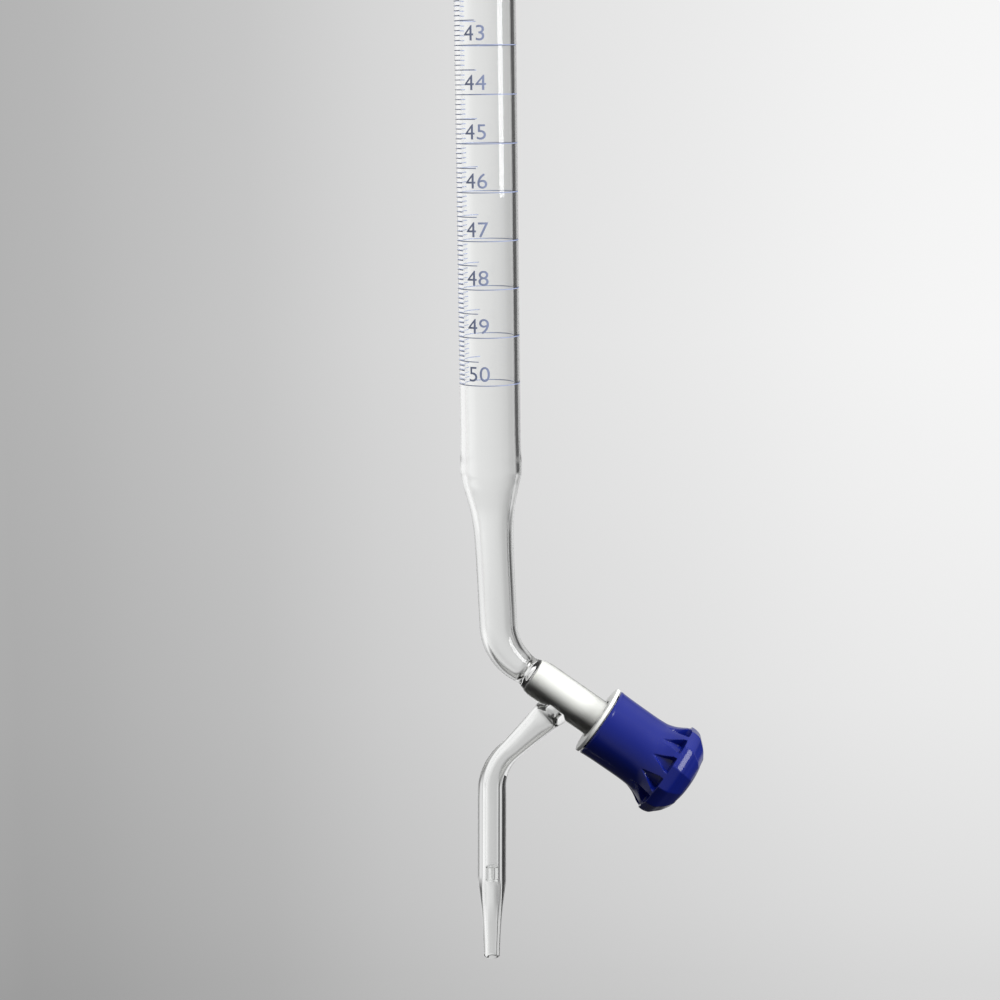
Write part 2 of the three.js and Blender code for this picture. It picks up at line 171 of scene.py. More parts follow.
SPINDLE = 2.9
SPINDLE_NOSE = [(-2.2, 0.05), (-2.2, 1.1), (-2.05, 1.25), (-1.12, 2.35), (-1.02, 2.6), (-1, 2.7),
                (-0.93, 2.84), (-0.8, SPINDLE)]
SPINDLE_FLAT = 2.45
SPINDLE_FLATS_FROM = 20.3
SPINDLE_SHOULDER = 27
TAIL = 1.9
TAIL_GROOVE = (30.4, 31.8, 1.35)
TAIL_END = 32.9
WASHER = 4.4
O_RING_GROOVE = 1.95
O_RING_WIDTH = 1.6
O_RING_MAJOR = 2.66
O_RING_MINOR = 0.42
O_RINGS = {"front_seal": ("front_o_ring", 17.3), "rear_seal": ("rear_o_ring", 19.3)}

TUBE_FACETS = 128
SMALL_FACETS = 96
KNOB_FACETS = FACETS * 26
CREASE = math.radians(32)

# ---- looks ---------------------------------------------------------------------------------------

GLASS_TINT = (0.988, 0.992, 0.988, 1)
GLASS_STREAKS = 700
PTFE_LIGHT = (0.9, 0.9, 0.88, 1)
PTFE_SHADE = (0.84, 0.84, 0.81, 1)
TOOL_MARKS_PER_METRE = 5000
ENAMEL_LIGHT = (0.34, 0.39, 0.58, 1)
ENAMEL_DEEP = (0.27, 0.32, 0.51, 1)
BLUE_LIGHT = (0.005, 0.013, 0.19, 1)
BLUE_DEEP = (0.004, 0.01, 0.15, 1)
WHITE_LIGHT = (0.84, 0.85, 0.82, 1)
WHITE_DEEP = (0.78, 0.79, 0.76, 1)
RUBBER_DEEP = (0.02, 0.02, 0.022, 1)
RUBBER_LIGHT = (0.035, 0.035, 0.037, 1)
FLOOR_LIGHT = (0.42, 0.42, 0.41, 1)
FLOOR_DEEP = (0.39, 0.39, 0.38, 1)
CARD_DEEP = (0.01, 0.01, 0.01, 1)
CARD_LIGHT = (0.02, 0.02, 0.02, 1)

# Brightness round the object by heading, for zones of height. A heading is in degrees from straight
# away from the camera towards its right. Each zone after the first takes over between two heights
# of the direction's unit vector.
ZONES = [
    (None, [(-180, 0.5), (-120, 0.6), (-70, 0.85), (-20, 0.97), (-9, 0.92), (-4, 0.81), (0, 0.76),
            (5, 0.64), (9, 0.52), (14, 0.46), (23, 0.44), (29, 0.05), (50, 0.05), (58, 0.5),
            (85, 0.6), (120, 0.5), (180, 0.5)]),
    ((-0.21, -0.17), [(-180, 0.45), (-120, 0.5), (-75, 0.7), (-50, 0.84), (-16, 0.84), (-9, 0.78),
                      (-3, 0.73), (4, 0.66), (9, 0.5), (18, 0.4), (28, 0.28), (48, 0.28), (60, 0.5),
                      (180, 0.45)]),
    ((-0.29, -0.22), [(-180, 0.5), (-110, 0.5), (-72, 0.8), (-62, 0.96), (-26, 0.96), (-14, 0.72),
                      (-6, 0.6), (4, 0.57), (16, 0.54), (28, 0.6), (36, 0.74), (48, 0.7),
                      (55, 0.14), (80, 0.12), (95, 0.45), (180, 0.5)]),
    ((-0.6, -0.4), [(-180, 0.06), (180, 0.06)]),
    ((0.7, 0.2), [(-180, 0.9), (-90, 0.7), (0, 0.9), (90, 1.3), (180, 0.9)]),
]
AMBIENT = 0.32  # share of that brightness that falls on matt surfaces
# The backdrop that the camera sees: its brightness by heading, and by height a factor on it.
BACKDROP = [(-180, 0.85), (-45, 0.8), (-10.9, 0.445), (-8.6, 0.503), (-5.7, 0.565), (-2.7, 0.672),
            (0, 0.74), (4.6, 0.823), (8, 0.888), (10.9, 0.922), (40, 0.9), (180, 0.85)]
BACKDROP_RISE = [(-1, 0.85), (-0.5, 0.82), (-0.347, 0.74), (-0.317, 0.8), (-0.242, 0.9),
                 (-0.164, 0.96), (-0.1, 1), (0.2, 1), (1, 0.95)]

LAMP_TARGET = Vector((0.02, 0, -0.33))
WINDOW_PLACE = (1.006, -0.654, 0.021)
WINDOW_SIZE = (0.44, 0.62)
WINDOW_POWER = 8
OVERHEAD_PLACE = (0.5, -0.4, 0.7)
OVERHEAD_SIZE = (0.7, 0.7)
OVERHEAD_POWER = 18
# A black strip, the flag, stands upright behind the outlet and darkens what its right wall shows.
# Its ends lie this far right of and behind the outlet's axis, as the camera sees it.
FLAG_ENDS = [(-2.4, 12.0), (-11.0, 3.4)]
FLAG_SPAN = (-402, -350)
FLAG_THICKNESS = 0.2
FLAG_CROSSINGS = 2.5  # more bounces than this and light passes it
FLOOR_DROP = 0.11
FLOOR_RADIUS = 0.32
FLOOR_PLAIN = 0.3  # share of that radius inside which the floor is solid

VIEW_TURN = 6.5  # degrees that the camera and the lights stand round the tube, towards the knob
CAMERA_PLACE = Vector((1.91, -545.1, -195.6)) * MM
CAMERA_PITCH = 9.43  # degrees below level
CAMERA_ROLL = -0.73
CAMERA_LENS = 90  # on a sensor of this width
CAMERA_SENSOR = 36

# ---- places, from the frame ----------------------------------------------------------------------

joints = {joint["name"]: joint for joint in frame["joints"]}
mounts = {mount["name"]: mount for mount in frame["record"]["mounts"]}
valve_start = Vector(joints["knob_turn"]["pos_m"]) / MM
valve_axis = Vector(joints["knob_turn"]["axis"]).normalized()
outlet_down = Vector(mounts["jet_end"]["axis"]).normalized()
outlet_across = Vector((-outlet_down.z, 0, outlet_down.x))
jet_end = Vector(mounts["jet_end"]["pos_m"]) / MM - outlet_across * JET_RIM_OFFSET
jet_seam = jet_end - outlet_down * JET_LENGTH
rim_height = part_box("measuring_tube")[1].z / MM
seam_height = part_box("measuring_tube")[0].z / MM - GAP


def on_valve(distance):
    return valve_start + valve_axis * distance


def valve_frame():
    """The valve's own frame: +Z along its axis, +X down towards the outlet, +Y level."""
    down = Vector((0, 1, 0)).cross(valve_axis)
    turned = Matrix((down, (0, 1, 0), valve_axis)).transposed().to_4x4()
    return Matrix.Translation(valve_start) @ turned


def jet_frame():
    """The jet's own frame, with +Z down its axis from the seam."""
    turned = Matrix((outlet_across, (0, -1, 0), outlet_down)).transposed().to_4x4()
    return Matrix.Translation(jet_seam) @ turned


def elbow():
    """Where the side arm's line meets the outlet's."""
    slant = math.atan2(-valve_axis.z, valve_axis.x) + math.radians(PORT_SLANT)
    arm = Vector((-math.sin(slant), 0, -math.cos(slant)))
    start = on_valve(PORT_AT)
    gap = jet_seam - start
    across = arm.x * outlet_down.z - arm.z * outlet_down.x
    reach = (gap.x * outlet_down.z - gap.z * outlet_down.x) / across
    return start + arm * reach


# ---- curves and routes ---------------------------------------------------------------------------

def curve_through(pairs):
    """A smooth function through (place, value) pairs, with no overshoot and level past the ends."""
    places, values = np.array(pairs, float).T
    steps = np.diff(places)
    slopes = np.diff(values) / steps
    tangents = np.zeros(len(places))
    for i, (before, after) in enumerate(zip(slopes, slopes[1:])):
        if before * after > 0:
            first = 2 * steps[i + 1] + steps[i]
            second = steps[i + 1] + 2 * steps[i]
            tangents[i + 1] = (first + second) / (first / before + second / after)

    def value(place):
        i = min(max(int(np.searchsorted(places, place)) - 1, 0), len(steps) - 1)
        t = min(max((place - places[i]) / steps[i], 0.0), 1.0)
        rise = values[i + 1] - values[i]
        bow = steps[i] * ((1 - t) * tangents[i] - t * tangents[i + 1])
        return float(values[i] + rise * t * t * (3 - 2 * t) + t * (1 - t) * bow)

    return value


def eased(value, start, end):
    """0 before start, 1 after end and a smooth rise between them."""
    t = min(max((value - start) / (end - start), 0.0), 1.0)
    return t * t * (3 - 2 * t)


def ways(*spans):
    """Places along a line, from (start, end, longest step) spans that follow each other."""
    found = [spans[0][0]]
    for start, end, step in spans:
        count = max(1, math.ceil((end - start) / step - 1e-6))
        found += [start + (end - start) * (k + 1) / count for k in range(count)]
    return found


def route_through(corners, bends):
    """A route in the XZ plane with each corner rounded to its bend, as stretches: the length,
    start, direction and turn per millimetre of each."""
    stretches = []
    at = corners[0]
    for before, corner, after, bend in zip(corners, corners[1:], corners[2:], bends):
        ahead = (corner - before).normalized()
        onward = (after - corner).normalized()
        sweep = ahead.angle(onward)
        reach = bend * math.tan(sweep / 2)
        start = corner - ahead * reach
        side = math.copysign(1, ahead.cross(onward).y)
        stretches.append(((start - at).length, at, ahead, 0.0))
        stretches.append((bend * sweep, start, ahead, side / bend))
        at = corner + onward * reach
    stretches.append(((corners[-1] - at).length, at, (corners[-1] - at).normalized(), 0.0))
    return stretches


def length_of(route):
    return sum(length for length, _, _, _ in route)


def placed(route, way):
    """The point and the direction at a way along a route, which runs on straight past both ends."""
    for length, start, ahead, turn in route[:-1]:
        if way <= length:
            break
        way -= length
    else:
        _, start, ahead, turn = route[-1]
    if not turn:
        return start + ahead * way, ahead
    rotation = Matrix.Rotation(turn * way, 3, "Y")
    centre = start + Vector((0, 1, 0)).cross(ahead) / turn
    return centre + rotation @ (start - centre), rotation @ ahead


# ---- meshes --------------------------------------------------------------------------------------

def new_object(name, points, faces):
    mesh = bpy.data.meshes.new(name)
    mesh.from_pydata([tuple(p) for p in points], [], faces)
    mesh.update()
    piece = bpy.data.objects.new(name, mesh)
    bpy.context.scene.collection.objects.link(piece)
    return piece


def skinned(name, rings, closed=False):
    """Rings of points joined into a skin, closed on itself or with a flat face on each end."""
    size = len(rings[0])
    count = len(rings)
    faces = []
    for i in range(count if closed else count - 1):
        low = i * size
        high = (i + 1) % count * size
        for j in range(size):
            after = (j + 1) % size
            faces.append((low + j, low + after, high + after, high + j))
    if not closed:
        faces += [tuple(reversed(range(size))), tuple(range((count - 1) * size, count * size))]
    return new_object(name, [p for ring in rings for p in ring], faces)


def swept(name, route, radius_at, places, facets):
    """A round bar along a route."""
    level = Vector((0, 1, 0))
    rings = []
    for way in places:
        centre, ahead = placed(route, way)
        side = level.cross(ahead)
        radius = radius_at(way)
        angles = [2 * math.pi * k / facets for k in range(facets)]
        rings.append([centre + (side * math.cos(a) + level * math.sin(a)) * radius for a in angles])
    return skinned(name, rings)


def turned(name, stations, place, facets=SMALL_FACETS, shape=None, closed=True):
    """Turns (height, radius) stations about +Z and sets them in a frame. If there is a
    shape(height, radius, angle), it gives the reach round the turn."""
    rings = []
    for height, radius in stations:
        ring = []
        for k in range(facets):
            angle = 2 * math.pi * k / facets
            reach = shape(height, radius, angle) if shape else radius
            ring.append(place @ Vector((reach * math.cos(angle), reach * math.sin(angle), height)))
        rings.append(ring)
    return skinned(name, rings, closed)


def combined(whole, tool, operation):
    """whole joined with a closed tool, or cut by it; the tool is used up."""
    modifier = whole.modifiers.new("combine", "BOOLEAN")
    modifier.solver = "EXACT"
    modifier.operation = operation
    modifier.object = tool
    graph = bpy.context.evaluated_depsgraph_get()
    mesh = bpy.data.meshes.new_from_object(whole.evaluated_get(graph))
    whole.modifiers.clear()
    whole.data = mesh
    bpy.data.objects.remove(tool)


def finished(piece, body, material, slot, *nodes):
    """Brings a piece from millimetres to metres, smooths its shading and ties it to the frame."""
    piece.data.transform(Matrix.Scale(MM, 4))
    piece.data.shade_smooth()
    piece.data.set_sharp_from_angle(angle=CREASE)
    piece.data.materials.clear()
    piece.data.materials.append(material)
    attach(piece, body)
    if nodes:
        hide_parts(*nodes)


# ---- glass ---------------------------------------------------------------------------------------

def shifted(pairs, way):
    return [(way + at, value) for at, value in pairs]


def tube_and_barrel():
    """The outside and the bore of the measuring tube, cone, neck and barrel, as bars."""
    corners = [Vector((0, 0, rim_height)), Vector((0, 0, seam_height - BEND_START)),
               on_valve(NECK_CORNER), on_valve(MOUTH)]
    route = route_through(corners, TUBE_BENDS)
    seam = rim_height - seam_height
    seat = length_of(route) - MOUTH
    outside = curve_through(RIM + shifted(CONE, seam) + shifted(BARREL, seat))
    wall = curve_through(CONE_WALL)
    cone = [(at, outside(seam + at) - wall(at)) for at in (0, 3, 6, 9, 11.5, 14, 20, 38)]
    upper = RIM_BORE + shifted([(-9, TUBE_BORE), *cone], seam)
    inside = curve_through(upper + shifted(BARREL_BORE, seat))
    outer = swept("glass_body", route, outside, ways(
        (0, 4.6, 0.2), (4.6, seam - 9, 60), (seam - 9, seam + 22, 0.5), (seam + 22, seat - 4, 0.9),
        (seat - 4, seat + 3, 0.25), (seat + 3, seat + 21.3, 3), (seat + 21.3, seat + MOUTH, 0.15),
    ), TUBE_FACETS)
    bore = swept("bore", route, inside, ways(
        (-1, 1.4, 0.2), (1.4, seam - 9, 60), (seam - 9, seam + 22, 0.5), (seam + 22, seat - 5, 0.9),
        (seat - 5, seat - 0.8, 0.15), (seat - 0.8, seat + MOUTH + 1, 5),
    ), TUBE_FACETS)
    return outer, bore


def arm_and_jet():
    """The outside and the bore of the side arm, the outlet and the jet, as bars."""
    route = route_through([on_valve(PORT_AT), elbow(), jet_end], [ARM_BEND])
    end = length_of(route)
    seam = end - JET_LENGTH
    outside = curve_through(ARM + shifted(JET, seam))
    inside = curve_through(ARM_BORE + shifted(JET_BORE, seam))
    outer = swept("arm", route, outside, ways(
        (ARM[0][0], 8, 0.3), (8, 31, 0.7), (31, seam + 3.6, 4),
        (seam + 3.6, end - 0.6, 0.6), (end - 0.6, end, 0.06),
    ), TUBE_FACETS)
    bore = swept("arm_bore", route, inside, ways(
        (0, 4, 2), (4, 8, 0.25), (8, 31, 0.7), (31, seam + 4.2, 4),
        (seam + 4.2, seam + 5.6, 0.2), (seam + 5.6, end + 1, 2),
    ), SMALL_FACETS)
    return outer, bore


def glass_body(material, seated):
    """The one fused glass body: the outsides joined, then both bores cut. The bore round the
    spindle is seated: the plunger and the film on it fill it, so it doesn't bend light."""
    body, bore = tube_and_barrel()
    arm, arm_bore = arm_and_jet()
    combined(body, arm, "UNION")
    combined(body, bore, "DIFFERENCE")
    combined(body, arm_bore, "DIFFERENCE")
    nodes = ["measuring_tube", "lower_tube", "valve_barrel", "outlet_arm", "jet_tip"]
    finished(body, "glass", material, "glass", *nodes)
    body.data.materials.append(seated)
    for face in body.data.polygons:
        way = (face.center / MM - valve_start).dot(valve_axis)
        reach = (face.center / MM - on_valve(way)).length
        if SEATED_WAY[0] < way < SEATED_WAY[1] and SEATED_REACH[0] < reach < SEATED_REACH[1]:
            face.material_index = 1


def jet_sleeve(material):
    """The capillary sleeve at the head of the jet."""
    top = SLEEVE_FROM
    bottom = top + SLEEVE_LENGTH
    outer = SLEEVE_OUTER
    stations = [(top, SLEEVE_BORE), (top, outer - 0.1), (top + 0.1, outer),
                (bottom - 0.1, outer), (bottom, outer - 0.1), (bottom, SLEEVE_BORE)]
    piece = turned("jet_sleeve", stations, jet_frame())
    finished(piece, "glass", material, "glass", "flow_restrictor")


# ---- the scale -----------------------------------------------------------------------------------

def mark_height(volume):
    return (CLAMPED_MARK - volume) * MARK_PITCH


def enamel_arc(points, faces, height, middle, half_span):
    """Adds one line round the tube: a full ring if half_span is 180 degrees, otherwise an arc."""
    ring = half_span >= 180
    count = max(8, round(half_span * 2 / ENAMEL_STEP))
    first = len(points)
    section = [(ENAMEL_FOOT, -0.5), (ENAMEL_TOP, -0.42), (ENAMEL_TOP, 0.42), (ENAMEL_FOOT, 0.5)]
    for k in range(count if ring else count + 1):
        angle = math.radians(middle - half_span + 2 * half_span * k / count)
        for rise, across in section:
            reach = TUBE_OUTER + rise
            level = height + across * LINE_WIDTH
            points.append((reach * math.cos(angle), reach * math.sin(angle), level))
    total = count if ring else count + 1
    for k in range(count):
        here = first + 4 * k
        there = first + 4 * ((k + 1) % total)
        faces += [(here + j, there + j, there + (j + 1) % 4, here + (j + 1) % 4) for j in range(4)]
    if not ring:
        faces.append(tuple(first + j for j in range(4)))
        faces.append(tuple(first + 4 * count + j for j in (3, 2, 1, 0)))


def scale_lines(material):
    """A line for every tenth of a millilitre: rings at whole ones, longer arcs at the halves."""
    points = []
    faces = []
    for tenths in range(CAPACITY * 10 + 1):
        span = 180 if tenths % 10 == 0 else HALF_SPAN if tenths % 5 == 0 else TENTH_SPAN
        enamel_arc(points, faces, mark_height(tenths / 10), SCALE_CENTRE, span)
    finished(new_object("scale_lines", points, faces), "glass", material, "enamel")


def flat_digit(digit):
    """The points and faces of one figure in the XY plane, cut so that it can be wrapped."""
    text = bpy.data.curves.new("digit", "FONT")
    text.body = digit
    text.align_x = "CENTER"
    text.extrude = 0.5
    text.resolution_u = 6
    holder = bpy.data.objects.new("digit", text)
    bpy.context.scene.collection.objects.link(holder)
    graph = bpy.context.evaluated_depsgraph_get()
    shape = bmesh.new()
    shape.from_mesh(bpy.data.meshes.new_from_object(holder.evaluated_get(graph)))
    bpy.data.objects.remove(holder)
    bmesh.ops.remove_doubles(shape, verts=shape.verts, dist=1e-5)
    scale = FIGURE_HEIGHT / DIGIT_HEIGHT
    bmesh.ops.scale(shape, verts=shape.verts, vec=(scale * FIGURE_STRETCH, scale, 1))
    for k in range(-4, 5):
        everything = [*shape.verts, *shape.edges, *shape.faces]
        cut = (k * FIGURE_STEP, 0, 0)
        bmesh.ops.bisect_plane(shape, geom=everything, plane_co=cut, plane_no=(1, 0, 0))
    bmesh.ops.triangulate(shape, faces=shape.faces)
    points = [v.co.copy() for v in shape.verts]
    faces = [tuple(v.index for v in f.verts) for f in shape.faces]
    shape.free()
    return points, faces


def scale_figures(material):
    """The numbers 0 to 50 over their lines, wrapped on the tube."""
    digits = {str(d): flat_digit(str(d)) for d in range(10)}
    points = []
    faces = []
    for number in range(CAPACITY + 1):
        text = str(number)
        for i, digit in enumerate(text):
            shift = (i - (len(text) - 1) / 2) * FIGURE_PITCH
            first = len(points)
            for x, y, z in digits[digit][0]:
                angle = math.radians(FIGURE_CENTRE) + (x + shift) / TUBE_OUTER
                reach = TUBE_OUTER + (ENAMEL_TOP if z > 0 else ENAMEL_FOOT)
                height = mark_height(number) + FIGURE_RISE + y
                points.append((reach * math.cos(angle), reach * math.sin(angle), height))
            faces += [tuple(first + v for v in face) for face in digits[digit][1]]
    finished(new_object("scale_figures", points, faces), "glass", material, "enamel")


# ---- the valve -----------------------------------------------------------------------------------

def ridge(height, angle, start, turns):
    """How much of a thread's full height stands at this height and angle, from 0 to 1."""
    foot = 0.42
    crest = 0.14
    share = 0.0
    for k in range(math.ceil(turns) + 1):
        way = angle / (2 * math.pi) + k
        off = abs(height - start - LEAD * way)
        slope = min(max((foot - off) / (foot - crest), 0.0), 1.0)
        share = max(share, slope * eased(way, 0, 0.08) * eased(turns - way, 0, 0.08))
    return share


def flatted(radius, flat, angle):
    """The reach at an angle of a circle with two flats across it."""
    return min(radius, flat / max(abs(math.cos(angle)), 1e-6))


def collar(material):
    """The white collar: a flange, a thread for the knob and a flatted hole for the spindle."""
    thread_start, turns = COLLAR_THREAD
    top = COLLAR_START + COLLAR_FLANGE

    def shape(height, radius, angle):
        if radius == COLLAR_ROOT and height > top + 0.2:
            return radius + (COLLAR_CREST - COLLAR_ROOT) * ridge(height, angle, thread_start, turns)
        if radius == SPINDLE + GAP:
            return flatted(radius, SPINDLE_FLAT + GAP, angle)
        return radius

    rim = COLLAR_RIM
    root = COLLAR_ROOT
    stations = [(COLLAR_START, rim - 0.25), (COLLAR_START + 0.08, rim - 0.08),
                (COLLAR_START + 0.25, rim), (top - 0.15, rim), (top - 0.04, rim - 0.04),
                (top, rim - 0.15), (top, root + 0.3), (top + 0.09, root + 0.09), (top + 0.3, root)]
    stations += [(height, root) for height in ways((top + 0.4, COLLAR_END - 0.3, 0.1))]
    stations += [(COLLAR_END - 0.1, root - 0.1), (COLLAR_END, root - 0.35)]
    hole = SPINDLE + GAP
    stations += [(COLLAR_END, hole), (COLLAR_END - COLLAR_WEB, hole)]
    stations += [(COLLAR_END - COLLAR_WEB, COLLAR_SOCKET), (21.4, COLLAR_SOCKET),
                 (20.8, COLLAR_BORE), (COLLAR_START, COLLAR_BORE)]
    piece = turned("collar", stations, valve_frame(), shape=shape)
    finished(piece, "glass", material, "white_plastic", "threaded_collar")


def facet_reach(angle):
    """The reach of a polygon's side at an angle, where its corners reach 1."""
    step = 2 * math.pi / FACETS
    off = (angle - math.radians(FACET_CORNER)) % step - step / 2
    return math.cos(step / 2) / math.cos(off)


def pocket_share(height, angle):
    """How far into a finger pocket a point is, from 0 outside to 1 on its floor."""
    step = 2 * math.pi / FACETS
    off = (angle - math.radians(FACET_CORNER) + step / 2) % step - step / 2
    wide = min(max((height - POCKET_TOP) / (POCKET_BASE - 0.7 - POCKET_TOP), 0.0), 1.0)
    inside = POCKET_WIDTH / 2 * wide - abs(off) * POCKET_REACH
    return eased(inside, 0, 0.38) * eased(POCKET_BASE - height, 0, 0.25)


def knob_skin(height, radius, angle):
    """The knob's outer reach: round at the mouth, faceted at the rim, pockets under the flare."""
    faceted = eased(height, *FACETED)
    reach = radius * (1 - faceted * (1 - facet_reach(angle)))
    deep = max(reach - POCKET_FLOOR, 0.0)
    return reach - deep * pocket_share(height, angle)


def knob(material):
    """The hollow blue knob, with its thread and the web that sits on the spindle's tail."""
    outline = curve_through(KNOB_OUTLINE)
    thread_start, turns = KNOB_THREAD
    web, web_end = KNOB_WEB
    hole = TAIL + GAP

    def shape(height, radius, angle):
        if radius == KNOB_BORE:
            return radius - (KNOB_BORE - KNOB_CREST) * ridge(height, angle, thread_start, turns)
        return knob_skin(height, radius, angle) if radius > CAP_RADIUS + 0.2 else radius

    outside = ways((KNOB_MOUTH, 18.2, 0.1), (18.2, 29, 0.9), (29, 34.2, 0.16), (34.2, 35.2, 0.08),
                   (35.2, 37.2, 0.25), (37.2, KNOB_END, 0.3))
    stations = [(height, outline(height)) for height in outside]
    stations += [(KNOB_END, CAP_RADIUS + 0.08), (KNOB_END - 0.08, CAP_RADIUS),
                 (CAP_RECESS, CAP_RADIUS), (CAP_RECESS, KNOB_CAVITY), (web_end, KNOB_CAVITY),
                 (web_end, hole), (web, hole)]
    inside = ways((KNOB_MOUTH + 0.15, 24, 0.12), (24, web, 4.2))
    stations += [(height, KNOB_BORE) for height in reversed(inside)]
    piece = turned("knob", stations, valve_frame(), facets=KNOB_FACETS, shape=shape)
    finished(piece, "knob", material, "blue_plastic", "control_knob")


def knob_cap(material):
    """The domed cap in the knob's outer end, with a skirt inside."""
    seat = CAP_RECESS + GAP
    edge = CAP_RADIUS - GAP
    skirt = KNOB_CAVITY - GAP
    top = KNOB_END + CAP_DOME
    dome = curve_through([(0.05, top), (2.4, top - 0.1), (4.4, top - 0.38), (5.4, KNOB_END + 0.2),
                          (edge, KNOB_END - 0.1)])
    stations = [(seat + 0.8, 0.05), (seat + 0.8, skirt - 1), (seat - 2.6, skirt - 1),
                (seat - 2.6, skirt), (seat, skirt), (seat, edge), (KNOB_END - 0.25, edge)]
    stations += [(dome(reach), reach) for reach in reversed(ways((0.05, edge - 0.05, 0.4)))]
    piece = turned("knob_cap", stations, valve_frame(), closed=False)
    finished(piece, "knob", material, "blue_plastic", "knob_end_cap")


def spindle(material):
    """The plunger: a nose for the seat, two grooves for the seals, a flatted stem and the tail."""

    def shape(height, radius, angle):
        if SPINDLE_FLATS_FROM < height <= SPINDLE_SHOULDER and radius == SPINDLE:
            return flatted(radius, SPINDLE_FLAT, angle)
        return radius

    stations = [*SPINDLE_NOSE, (5, SPINDLE)]
    for _, centre in O_RINGS.values():
        low = centre - O_RING_WIDTH / 2
        high = centre + O_RING_WIDTH / 2
        stations += [(low - 0.08, SPINDLE), (low, SPINDLE - 0.08), (low, O_RING_GROOVE),
                     (high, O_RING_GROOVE), (high, SPINDLE - 0.08), (high + 0.08, SPINDLE)]
    flats = SPINDLE_FLATS_FROM
    stations += [(flats, SPINDLE), (flats + 0.02, SPINDLE), (SPINDLE_SHOULDER, SPINDLE)]
    groove_from, groove_to, groove = TAIL_GROOVE
    stations += [(SPINDLE_SHOULDER + 0.001, TAIL), (groove_from, TAIL), (groove_from, groove),
                 (groove_to, groove), (groove_to, TAIL), (TAIL_END - 0.5, TAIL),
                 (TAIL_END, TAIL - 0.5), (TAIL_END, 0.05)]
    piece = turned("spindle", stations, valve_frame(), shape=shape, closed=False)
    finished(piece, "spindle", material, "ptfe", "valve_spindle")


def seals(material):
    """The two O-rings in the spindle's grooves."""
    for name, (node, centre) in O_RINGS.items():
        stations = []
        for k in range(24):
            angle = 2 * math.pi * k / 24
            height = centre + O_RING_MINOR * math.sin(angle)
            stations.append((height, O_RING_MAJOR + O_RING_MINOR * math.cos(angle)))
        finished(turned(name, stations, valve_frame()), "spindle", material, "rubber", node)


def washer(material):
    """The thrust washer between the spindle's shoulder and the knob's web."""
    bottom = SPINDLE_SHOULDER + GAP
    top = KNOB_WEB[0] - GAP
    hole = TAIL + GAP
    rim = WASHER
    stations = [(bottom, hole), (bottom, rim - 0.1), (bottom + 0.1, rim), (top - 0.1, rim),
                (top, rim - 0.1), (top, hole)]
    piece = turned("washer", stations, valve_frame())
    finished(piece, "spindle", material, "ptfe", "thrust_washer")


# ---- materials -----------------------------------------------------------------------------------

class Nodes:
    """The node tree of a material or the world, with a short way to add a linked node."""

    def __init__(self, owner):
        owner.use_nodes = True
        self.tree = owner.node_tree
        self.tree.nodes.clear()

    def add(self, kind, inputs=None, **settings):
        node = self.tree.nodes.new("ShaderNode" + kind)
        for name, value in settings.items():
            setattr(node, name, value)
        for name, value in (inputs or {}).items():
            if isinstance(value, bpy.types.Node):
                value = value.outputs[0]
            if isinstance(value, bpy.types.NodeSocket):
                self.tree.links.new(value, node.inputs[name])
            else:
                node.inputs[name].default_value = value
        return node

    def noise(self, scale, detail=2, stretch=(1, 1, 1)):
        place = self.add("TexCoord").outputs["Object"]
        scaled = self.add("Mapping", {"Vector": place, "Scale": stretch})
        return self.add("TexNoise", {"Vector": scaled, "Scale": scale, "Detail": detail}).outputs[0]

    def blended(self, share, first, second):
        mix = self.add("Mix", data_type="RGBA")
        self.tree.links.new(share, mix.inputs[0])
        mix.inputs[6].default_value = first
        mix.inputs[7].default_value = second
        return mix.outputs[2]

    def bump(self, height, distance, strength=1.0):
        return self.add("Bump", {"Height": height, "Distance": distance, "Strength": strength})

    def spread(self, value, low, high):
        """A 0 to 1 value spread from low to high."""
        return self.add("MapRange", {"Value": value, "To Min": low, "To Max": high})

    def shade(self, shader, kind="OutputMaterial"):
        self.add(kind, {"Surface": shader})

    def shade_clear(self, glass):
        """A glass that lets lamps through to what is inside it."""
        clear = self.add("BsdfTransparent", {"Color": GLASS_TINT})
        lamp = self.add("LightPath").outputs["Is Shadow Ray"]
        self.shade(self.add("MixShader", {0: lamp, 1: glass, 2: clear}))


def plastic(name, first, second, roughness, grain, gloss=0.5):
    """Moulded plastic: two near colours in soft clouds, uneven gloss and a faint orange peel."""
    material = bpy.data.materials.new(name)
    nodes = Nodes(material)
    clouds = nodes.noise(90, 3)
    peel = nodes.noise(2600, 2)
    base = nodes.add("BsdfPrincipled", {
        "Base Color": nodes.blended(clouds, first, second),
        "Roughness": nodes.spread(nodes.noise(420, 3), *roughness),
        "Specular IOR Level": gloss,
        "Normal": nodes.bump(peel, grain),
    })
    nodes.shade(base)
    return material


def glass_material():
    """Clear drawn glass with faint streaks along the tube."""
    material = bpy.data.materials.new("clear_glass")
    nodes = Nodes(material)
    streaks = nodes.noise(GLASS_STREAKS, 2, (1, 1, 0.03))
    nodes.shade_clear(nodes.add("BsdfPrincipled", {
        "Base Color": GLASS_TINT,
        "Roughness": 0.0,
        "IOR": 1.47,
        "Transmission Weight": 1.0,
        "Normal": nodes.bump(streaks, 0.00001),
    }))
    return material


def seated_material():
    """Glass against the film round the spindle. Both bend light alike, so no border shows."""
    material = bpy.data.materials.new("seated_glass")
    nodes = Nodes(material)
    film = nodes.noise(GLASS_STREAKS, 2)
    nodes.shade_clear(nodes.add("BsdfPrincipled", {
        "Base Color": nodes.blended(film, (1, 1, 0.99, 1), (0.97, 0.98, 0.95, 1)),
        "Roughness": 0.0,
        "IOR": 1.0,
        "Transmission Weight": 1.0,
    }))
    return material


